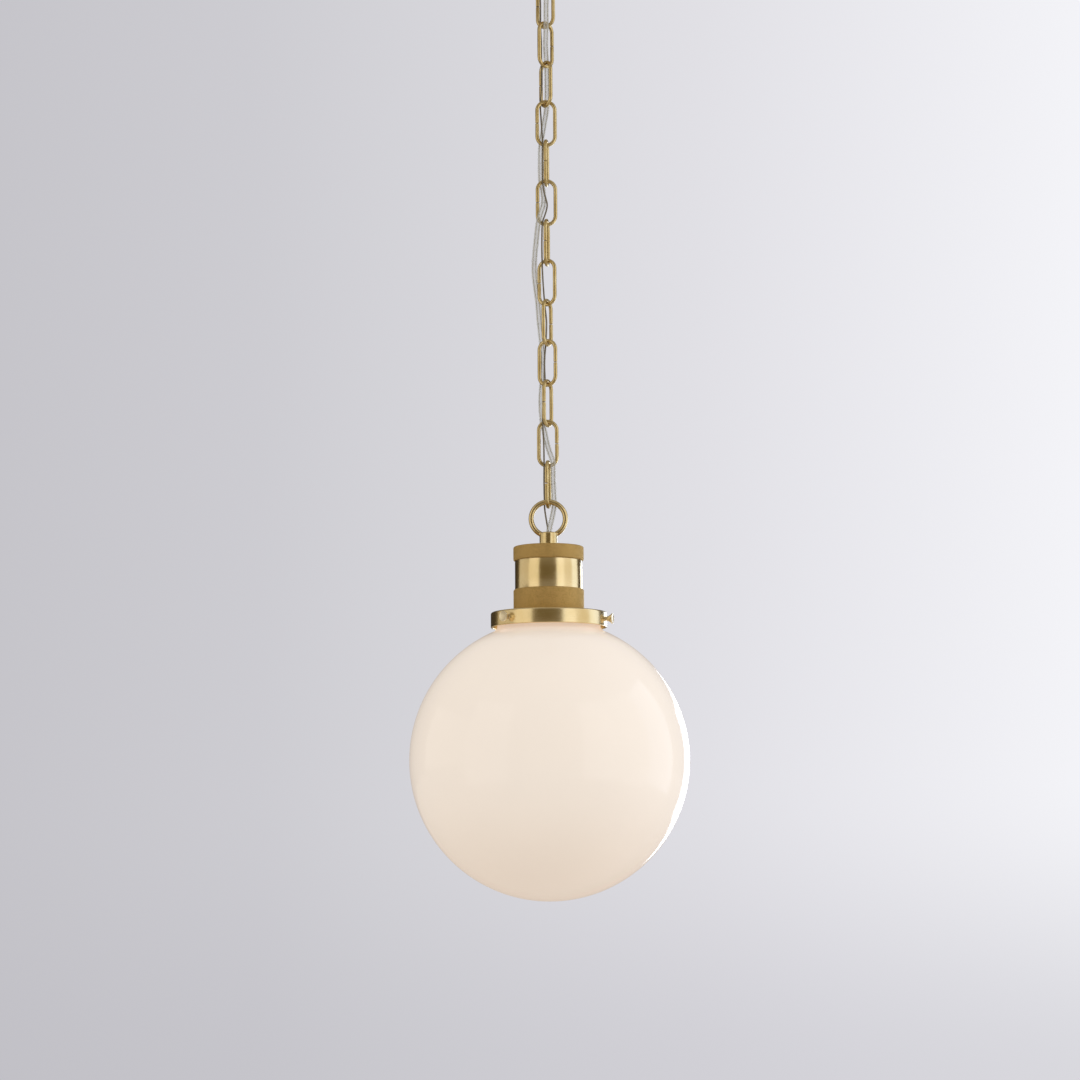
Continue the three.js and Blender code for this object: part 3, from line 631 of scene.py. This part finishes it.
head_loop = copied(stem, "loop_lower")
head_loop.location = (0, 0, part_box("head_loop")[0].z)
hand_over(head_loop, "head", loop_brass, ["head_loop"], 180)
bpy.data.objects.remove(stem)

# %% [markdown]
# ## The cap, the band and the collar
#
# Three turned pieces stand on each other. The cap and the collar have a rebate that the polished band slips
# into, so the band stands back from both and throws a thin shadow line above and below. Modelled as one
# profile they would look moulded, with no line where one piece ends.

# %% Spin the cap
cap_low, cap_high = heights("top_cap")
cap_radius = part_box("top_cap")[1].y
band_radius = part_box("polished_band")[1].y
rebate = band_radius + gap
inside = band_radius - 5.8 * mm
edge = 1.5 * mm
cap = turned(
    "cap_casting",
    [
        (inside, cap_low + 2.5 * mm),
        (rebate, cap_low + 2.5 * mm),
        (rebate, cap_low),
        *corner(cap_radius - edge, cap_low + edge, edge, -74, 0),
        *corner(cap_radius - edge, cap_high - edge, edge, 0, 90),
        (pipe_hole, cap_high),
        (pipe_hole, cap_high - 3 * mm),
        (inside, cap_high - 3 * mm),
    ],
)
softened(cap, 0.15 * mm, 2, 50)
hand_over(cap, "head", cast_brass, ["top_cap"])

# %% Spin the band and the collar
band_low, band_high = heights("polished_band")
band = turned(
    "band_spun",
    [
        (band_radius - 1.5 * mm, band_low),
        (band_radius, band_low),
        (band_radius, band_high),
        (band_radius - 1.5 * mm, band_high),
    ],
    128,
)
softened(band, 0.25 * mm, 2, 50)
hand_over(band, "head", polished_brass, ["polished_band"])

collar_low, collar_high = heights("lower_collar")
collar = turned(
    "collar_casting",
    [
        (pipe_hole, collar_low),
        *corner(cap_radius - 0.4 * mm, collar_low + 0.4 * mm, 0.4 * mm, -90, 0, 3),
        *corner(cap_radius - edge, collar_high - edge, edge, 0, 74),
        (rebate, collar_high),
        (rebate, collar_high - 2.5 * mm),
        (inside, collar_high - 2.5 * mm),
        (inside, collar_low + 3 * mm),
        (pipe_hole, collar_low + 3 * mm),
    ],
)
softened(collar, 0.15 * mm, 2, 50)
hand_over(collar, "head", cast_brass, ["lower_collar"])

# %% [markdown]
# ## The ring that holds the globe
#
# The ring is a shallow dish pressed from sheet, so it has a small outside radius at the top and a rolled lower
# edge. Three holes are drilled through its side for the thumbscrews. The holes are cut with booleans after
# the dish is spun, because a spun outline can't have a hole in one place only.

# %% Spin the ring and drill it
ring_low, ring_high = heights("fitter_ring")
ring_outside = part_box("fitter_ring")[1].y
ring_inside = ring_outside - 1.6 * mm
screw_azimuths = [-44, 76, 196]
screw_low, screw_high = heights("thumbscrew_1")
screw_level = (screw_low + screw_high) / 2
fitter = turned(
    "ring_spun",
    [
        *corner(ring_inside + 0.8 * mm, ring_low + 0.8 * mm, 0.8 * mm, -180, 0, 8),
        *corner(ring_outside - 1.6 * mm, ring_high - 1.6 * mm, 1.6 * mm, 0, 90),
        (pipe_hole, ring_high),
        (pipe_hole, ring_high - 1.6 * mm),
        (ring_inside - 0.5 * mm, ring_high - 1.6 * mm),
        (ring_inside, ring_high - 2.1 * mm),
    ],
    144,
)
for azimuth in screw_azimuths:
    drill = rod("drill", drill_radius, ring_inside - drill_past, ring_outside + drill_past, 32)
    drill.rotation_euler = (math.pi / 2, 0, math.radians(azimuth))
    drill.location = (0, 0, screw_level)
    settle(drill)
    combined(fitter, "DIFFERENCE", drill)
hand_over(fitter, "head", polished_brass, ["fitter_ring"], 30)

# %% [markdown]
# ## Thumbscrews
#
# Each is a trumpet: a thin shank that flares into a thin round head, with a shallow dished face to push a thumb
# against. The shank has a thread, which shows as fine rings beside the glass when the screw is backed out. All
# three are one spun outline, copied, laid on its side and turned to its own direction.

# %% Spin one screw and copy it twice
screw_tip = 47.35 * mm
screw_face = 59.65 * mm
flare_start = 53.65 * mm
flare_end = screw_face - 0.9 * mm
outline = [(0, screw_tip), (1.5 * mm, screw_tip)]
level = screw_tip + 0.3 * mm
while level < flare_start - 0.6 * mm:
    outline += [(2.0 * mm, level), (1.72 * mm, level + 0.25 * mm)]
    level += 0.5 * mm
for i in range(13):
    way = i / 12
    outline.append((2 * mm + 2.75 * mm * way**2, flare_start + (flare_end - flare_start) * way))
outline += [
    (4.75 * mm, screw_face - 0.25 * mm),
    (4.5 * mm, screw_face),
    (4.1 * mm, screw_face),
    (3.6 * mm, screw_face - 0.25 * mm),
    (0, screw_face - 0.45 * mm),
]
screw = turned("screw_master", outline, 48)
softened(screw, 0.08 * mm, 2, 60)
for i, azimuth in enumerate(screw_azimuths, start=1):
    piece = copied(screw, f"trumpet_screw_{i}")
    piece.rotation_euler = (math.pi / 2, 0, math.radians(azimuth))
    piece.location = (0, 0, screw_level)
    hand_over(piece, f"thumbscrew_{i}", screw_brass, [f"thumbscrew_{i}"])
bpy.data.objects.remove(screw)

# %% [markdown]
# ## The opal globe
#
# The globe is blown into a mould: a sphere with a short neck and a lip that stands out above the thumbscrews.
# The glass is three millimetres thick and open at the top, so it gets an inside as well. Its outline is one
# long arc out, round the neck and the lip, and one arc back inside.

# %% Spin the globe
glass = 3 * mm
neck = 47.05 * mm
lip = 49.85 * mm
lip_top = globe_high.z
shoulder = 2.4 * mm
neck_low = globe_centre.z + math.sqrt(globe_radius**2 - neck**2) + shoulder
outer_end = 90 - math.degrees(math.asin((neck + shoulder) / globe_radius))
inner_radius = globe_radius - glass
inner_neck = neck - glass
inner_end = 90 - math.degrees(math.asin((inner_neck + shoulder) / inner_radius))
globe = turned(
    "opal_globe",
    [
        *corner(0, globe_centre.z, globe_radius, -90, outer_end, 64),
        (neck + 0.5 * mm, neck_low - 0.9 * mm),
        (neck, neck_low),
        (neck, lip_top - 2.4 * mm),
        *corner(lip - 0.8 * mm, lip_top - 1.2 * mm, 0.8 * mm, -60, 90, 5),
        (inner_neck, lip_top),
        (inner_neck, neck_low - shoulder / 2),
        *corner(0, globe_centre.z, inner_radius, inner_end, -90, 48),
    ],
    144,
)
hand_over(globe, "head", opal_glass, ["glass_globe"], 50)

# %% [markdown]
# ## The canopy and its nuts
#
# The canopy is spun from sheet: a flat bottom, a broad rounded edge and a narrow rim on the ceiling. Two
# domed nuts hold it to the strap. They are small acorns on a flat collar, one outline copied.

# %% Spin the canopy
canopy_low, canopy_high = heights("ceiling_canopy")
canopy_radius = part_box("ceiling_canopy")[1].y
sheet = 1.2 * mm
rim = 3.5 * mm
canopy_edge = 7 * mm
canopy = turned(
    "canopy_spun",
    [
        (pipe_hole, canopy_low),
        *corner(canopy_radius - canopy_edge, canopy_low + canopy_edge, canopy_edge, -90, 0, 14),
        (canopy_radius, canopy_high),
        (canopy_radius - rim, canopy_high),
        (canopy_radius - rim, canopy_high - sheet),
        (canopy_radius - sheet, canopy_high - sheet),
        *corner(canopy_radius - canopy_edge, canopy_low + canopy_edge, canopy_edge - sheet, 0, -90, 12),
        (pipe_hole, canopy_low + sheet),
    ],
    128,
)
stud_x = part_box("canopy_stud_2")[1].x - stud_radius
for x in (-stud_x, stud_x):
    drill = rod("drill", drill_radius, canopy_low - 1 * mm, canopy_low + 3 * mm, 32)
    drill.location = (x, 0, 0)
    settle(drill)
    combined(canopy, "DIFFERENCE", drill)
hand_over(canopy, "canopy", cast_brass, ["ceiling_canopy"], 30)

# %% Spin a domed nut and copy it
nut_low, nut_high = heights("cap_nut_1")
dome = 4.5 * mm
nut = turned(
    "nut_master",
    [
        *corner(0, nut_low + 3.6 * mm, 3.6 * mm, -90, 0, 8),
        (3.6 * mm, nut_high - 1.4 * mm),
        (dome, nut_high - 1.1 * mm),
        (dome, nut_high),
        (2.4 * mm, nut_high),
        (2.4 * mm, nut_high - 5.5 * mm),
        (0, nut_high - 5.5 * mm),
    ],
    48,
)
softened(nut, 0.2 * mm, 2, 50)
for i, x in enumerate((-stud_x, stud_x), start=1):
    piece = copied(nut, f"acorn_nut_{i}")
    piece.location = (x, 0, 0)
    hand_over(piece, "canopy", polished_brass, [f"cap_nut_{i}"])
bpy.data.objects.remove(nut)

# %% [markdown]
# ## Flex and earth wire
#
# A smooth curve goes through each route's points. The flat flex also needs to know which way its flat side
# faces, so a pair of side directions is carried along the curve and turned as little as possible at each step.
# The chain swings at fourteen joints, so the cords are made in fourteen lengths, each from the middle of one
# link to the middle of the next.

# %% A smooth curve through points, with side directions
def smooth_route(points, spacing):
    """Points at even spacing on a centripetal Catmull-Rom curve."""
    route = [Vector(p) * mm for p in points]
    route = [2 * route[0] - route[1], *route, 2 * route[-1] - route[-2]]
    dense = []
    for p0, p1, p2, p3 in zip(route, route[1:], route[2:], route[3:]):
        d0, d1, d2 = (math.sqrt((b - a).length) for a, b in ((p0, p1), (p1, p2), (p2, p3)))
        m1 = ((p1 - p0) / d0 - (p2 - p0) / (d0 + d1) + (p2 - p1) / d1) * d1
        m2 = ((p2 - p1) / d1 - (p3 - p1) / (d1 + d2) + (p3 - p2) / d2) * d1
        for step in range(24):
            t = step / 24
            a, b = 2 * t**3 - 3 * t**2 + 1, t**3 - 2 * t**2 + t
            c, d = 3 * t**2 - 2 * t**3, t**3 - t**2
            dense.append(a * p1 + b * m1 + c * p2 + d * m2)
    dense.append(route[-2])
    even, travelled = [dense[0]], 0.0
    for first, second in zip(dense, dense[1:]):
        step = (second - first).length
        while travelled + step >= spacing:
            first = first.lerp(second, (spacing - travelled) / step)
            step = (second - first).length
            even.append(first)
            travelled = 0.0
        travelled += step
    even.append(dense[-1])
    return even


def with_sides(points):
    """Each point with its thickness and width directions, turned as little as possible."""
    thick, result, before = Vector((0, -1, 0)), [], None
    for i, point in enumerate(points):
        ahead = points[min(i + 1, len(points) - 1)] - points[max(i - 1, 0)]
        ahead.normalize()
        if before is not None:
            thick = before.rotation_difference(ahead) @ thick
        thick = (thick - ahead * thick.dot(ahead)).normalized()
        result.append((point, thick, thick.cross(ahead)))
        before = ahead
    return result


flex_line = with_sides(smooth_route(flex_points, 0.9 * mm))
earth_line = with_sides(smooth_route(earth_points, 0.6 * mm))
print("flex:", len(flex_line), "stations, earth wire:", len(earth_line), "stations")

# %% Sweep a section along a stretch of the curve
def swept(name, line, section):
    """A closed tube. The section gives (thickness, width) corners for a distance along the line."""
    corners, faces, walked, count = [], [], 0.0, len(section(0.0))
    for i, (point, thick, wide) in enumerate(line):
        walked += (point - line[i - 1][0]).length if i else 0.0
        corners += [point + thick * a + wide * b for a, b in section(walked)]
    for i in range(len(line) - 1):
        for j in range(count):
            k = (j + 1) % count
            faces.append((i * count + j, i * count + k, (i + 1) * count + k, (i + 1) * count + j))
    faces.append(tuple(range(count)))
    faces.append(tuple(reversed(range((len(line) - 1) * count, len(line) * count))))
    mesh = bpy.data.meshes.new(name)
    mesh.from_pydata(corners, [], faces)
    piece = bpy.data.objects.new(name, mesh)
    bpy.context.scene.collection.objects.link(piece)
    only(piece)
    bpy.ops.object.mode_set(mode="EDIT")
    bpy.ops.mesh.select_all(action="SELECT")
    bpy.ops.mesh.normals_make_consistent(inside=False)
    bpy.ops.object.mode_set(mode="OBJECT")
    return piece


def flat_section(walked):
    """Two round cores side by side in one sheath, with a shallow valley between them."""
    sides = 28
    result = []
    for i in range(sides):
        angle = 2 * math.pi * i / sides
        across = 1.4 * math.copysign(min(1, abs(2.2 * math.sin(angle))), math.sin(angle))
        valley = 1 if abs(across) >= 1.4 else 0.9
        thickness = 1.25 * mm * math.cos(angle) * valley
        result.append((thickness, mm * (across + 1.2 * math.sin(angle))))
    return result


def stranded_section(radius, offset, lay):
    """A core of strands twisted together, so its outline is lobed and turns along its length."""
    def section(walked):
        result = []
        for i in range(18):
            angle = 2 * math.pi * i / 18
            lobe = 1 - 0.16 * abs(math.sin(3 * (angle - 2 * math.pi * walked / lay)))
            result.append((radius * lobe * math.cos(angle), offset + radius * lobe * math.sin(angle)))
        return result

    return section


# %% Lay the cords down the chain
core_radius = 0.42 * mm
core_offset = 1.4 * mm
core_lay = 9 * mm
earth_radius = 0.8 * mm
earth_lay = 7 * mm
chain_bodies = ["canopy", *[f"link_{i:02d}" for i in range(1, 14)], "head"]
loop_wire_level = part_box("canopy_loop")[0].z + ring_wire / 2
link_wire_levels = [centre - (link_length - link_wire) / 2 for centre in link_centres]
pivots = [loop_wire_level, *link_wire_levels]
core_a = stranded_section(core_radius, -core_offset, core_lay)
core_b = stranded_section(core_radius, core_offset, core_lay)
earth_section = stranded_section(earth_radius, 0, earth_lay)
cords = [
    ("flex_sheath", flex_line, flat_section, clear_plastic, "clear_plastic", "flex"),
    ("flex_core_a", flex_line, core_a, tinned_wire, "clear_plastic", "flex"),
    ("flex_core_b", flex_line, core_b, tinned_wire, "clear_plastic", "flex"),
    ("earth_strand", earth_line, earth_section, earth_copper, "earth_copper", "earth_wire"),
]
above_all, below_all = 1.0, -2.0
for cord_name, line, section, material, slot, node in cords:
    for i, pivot in enumerate(pivots):
        top = link_centres[i - 1] if i else above_all
        bottom = link_centres[i] if i < len(link_centres) else below_all
        inside_stretch = [j for j, station in enumerate(line) if bottom <= station[0].z <= top]
        stretch = line[max(inside_stretch[0] - 1, 0) : inside_stretch[-1] + 1]
        piece = swept(f"{cord_name}_{i + 1:02d}", stretch, section)
        bpy.ops.object.shade_smooth_by_angle(angle=math.radians(50))
        piece.data.materials.append(material)
        chain_bodies[i + 1]
        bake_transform(piece)
        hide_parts(node)
    print(cord_name, "in", len(pivots), "lengths")

# %% [markdown]
# ## The pieces that stay as they are
#
# What is left is hidden in the canopy or in the globe: strap, pipes, nuts, lampholder, bulb. Their CAD solids
# are already the right shape, so they stay and only get a finish of their own.

# %% Finishes for the inside
inside_finishes = {
    "mounting_strap": zinc_steel, "canopy_stud_1": zinc_steel, "canopy_stud_2": zinc_steel,
    "canopy_washer": zinc_steel, "canopy_lock_nut": zinc_steel, "canopy_pipe": zinc_steel,
    "head_pipe": zinc_steel, "head_washer": zinc_steel, "head_lock_nut": zinc_steel,
    "bulb_contact": zinc_steel, "bulb_base": zinc_steel, "filament": zinc_steel,
    "ground_screw": green_paint, "socket_body": moulding, "bulb_insulator": moulding,
    "socket_cap": satin_brass, "terminal_screw_1": satin_brass, "terminal_screw_2": satin_brass,
    "screw_shell": polished_brass, "centre_contact": polished_brass,
    "bulb_glass": frosted, "bulb_stem": frosted,
    "wire_connector_1": connector_cap, "wire_connector_2": connector_cap,
    "supply_lead_1": clear_plastic, "supply_lead_2": clear_plastic,
}
for node, material in inside_finishes.items():
    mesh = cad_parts[node].data
    mesh.materials.clear()
    mesh.materials.append(material)
print("finished inside:", len(inside_finishes), "nodes")

# %% [markdown]
# ## The wall
#
# The lamp hangs in front of a plain pale wall that gets lighter towards the window on the right and a little
# darker towards the floor. The wall is only a colour that the camera sees. Everything else sees a dim warm
# room, because a bright room all round would fill the dark stripes that make brass look like metal.

# %% Wall for the camera, room for everything else
world = bpy.data.worlds.new("room")
bpy.context.scene.world = world
world.use_nodes = True
nodes = Nodes(world.node_tree)
background = world.node_tree.nodes["Background"]
direction = nodes.out(nodes.add("ShaderNodeTexCoord"), "Generated")
looking = nodes.add("ShaderNodeSeparateXYZ", None, {0: direction})
across = nodes.out(looking, "X")
up = nodes.out(looking, "Z")
wall_stops = [
    (0.00, (0.562, 0.555, 0.590)), (0.24, (0.610, 0.604, 0.640)), (0.35, (0.650, 0.645, 0.680)),
    (0.65, (0.752, 0.745, 0.784)), (0.76, (0.800, 0.795, 0.835)), (1.00, (0.905, 0.905, 0.940)),
]
place_across = nodes.ramp(across, -0.18, 0.18, smooth=False)
wall = nodes.out(nodes.add("ShaderNodeValToRGB", {"stops": wall_stops}, {"Fac": place_across}), "Color")
shade_towards_floor = nodes.ramp(0 - up, -0.045, 0.06)
wall_low = nodes.mixed(shade_towards_floor * (0.10 + 0.25 * place_across), wall, (0.30, 0.29, 0.34))
away = nodes.out(looking, "Y")
walls = nodes.mixed(nodes.ramp(away, 0.45, 0.75), (0.155, 0.118, 0.060), (0.050, 0.038, 0.025))
room = nodes.mixed(nodes.ramp(up, 0.2, 0.8), walls, (0.42, 0.39, 0.35))
seen = nodes.out(nodes.add("ShaderNodeLightPath"), "Is Camera Ray")
nodes.feed(background.inputs["Color"], nodes.mixed(seen, room, wall_low))
print("room:", len(nodes.tree.nodes), "nodes")

# %% [markdown]
# ## Light
#
# Polished metal shows what stands around it, so the light is a ring of tall soft panels with dark gaps between
# them. Each panel is a bright stripe on the band and the ring, and each gap a dark one. Their directions are
# angles from the viewer, positive to the right. One bulb-like lamp would light the piece, but give it one
# small glint and no stripes.

# %% Tall soft panels
def panel(name, first, last, brightness, low, high, colour):
    """A panel from one azimuth to another, in degrees, and between two levels, in metres."""
    middle = math.radians((first + last) / 2)
    width = 2 * panel_distance * math.tan(math.radians((last - first) / 2))
    light = bpy.data.lights.new(name, "AREA")
    light.shape = "RECTANGLE"
    light.size = width
    light.size_y = high - low
    light.energy = brightness * math.pi * width * (high - low)
    light.color = colour
    lamp = bpy.data.objects.new(name, light)
    bpy.context.scene.collection.objects.link(lamp)
    outwards = Vector((math.sin(middle), -math.cos(middle), 0))
    lamp.location = outwards * panel_distance + Vector((0, 0, (low + high) / 2))
    lamp.rotation_euler = outwards.to_track_quat("Z", "Y").to_euler()
    lamp.visible_camera = False


panel_distance = 2.2
window_light = (0.98, 0.985, 1.0)
sky_light = (0.90, 1.0, 1.18)
lamp_light = (1.0, 0.96, 0.90)
panel("window_front", 27, 55, 0.98, -1.45, 1.2, window_light)
panel("window_between", 55, 87, 0.70, -1.45, 1.2, lamp_light)
panel("window_side", 87, 117, 1.08, -1.35, 1.1, sky_light)
panel("window_back", 142, 166, 3.0, -1.3, -0.2, sky_light)
panel("room_left", -72, -33, 0.78, -1.5, 1.1, lamp_light)
panel("room_far_left", -120, -72, 0.50, -0.9, 0.3, lamp_light)
print("lights:", len(bpy.data.lights))

# %% [markdown]
# ## The floor
#
# The floor is far below and outside the picture. It is there for the views from above and so that the
# underside of the globe has something pale and warm to reflect. Like the wall, it is lighter to the camera
# than to the lamp, because a floor as bright as it looks would fill the dark stripes of the brass.

# %% A pale floor
fresh_start()
bpy.ops.mesh.primitive_plane_add(size=40, location=(0, 0, -2.35))
floor = bpy.context.active_object
floor.name = "floor"
floor_paint, nodes, surface = finish("floor_paint", Specular_IOR_Level=0.2, Emission_Strength=1.0)
mottle = nodes.noise(0.6, 3)
nodes.feed(surface.inputs["Base Color"], nodes.mixed(mottle, (0.76, 0.72, 0.67), (0.80, 0.76, 0.71)))
nodes.feed(surface.inputs["Roughness"], 0.7 + 0.15 * mottle)
seen = nodes.out(nodes.add("ShaderNodeLightPath"), "Is Camera Ray")
nodes.feed(surface.inputs["Emission Color"], nodes.mixed(seen, (0, 0, 0), (0.35, 0.38, 0.45)))
floor.data.materials.append(floor_paint)
print("floor at", floor.location.z)
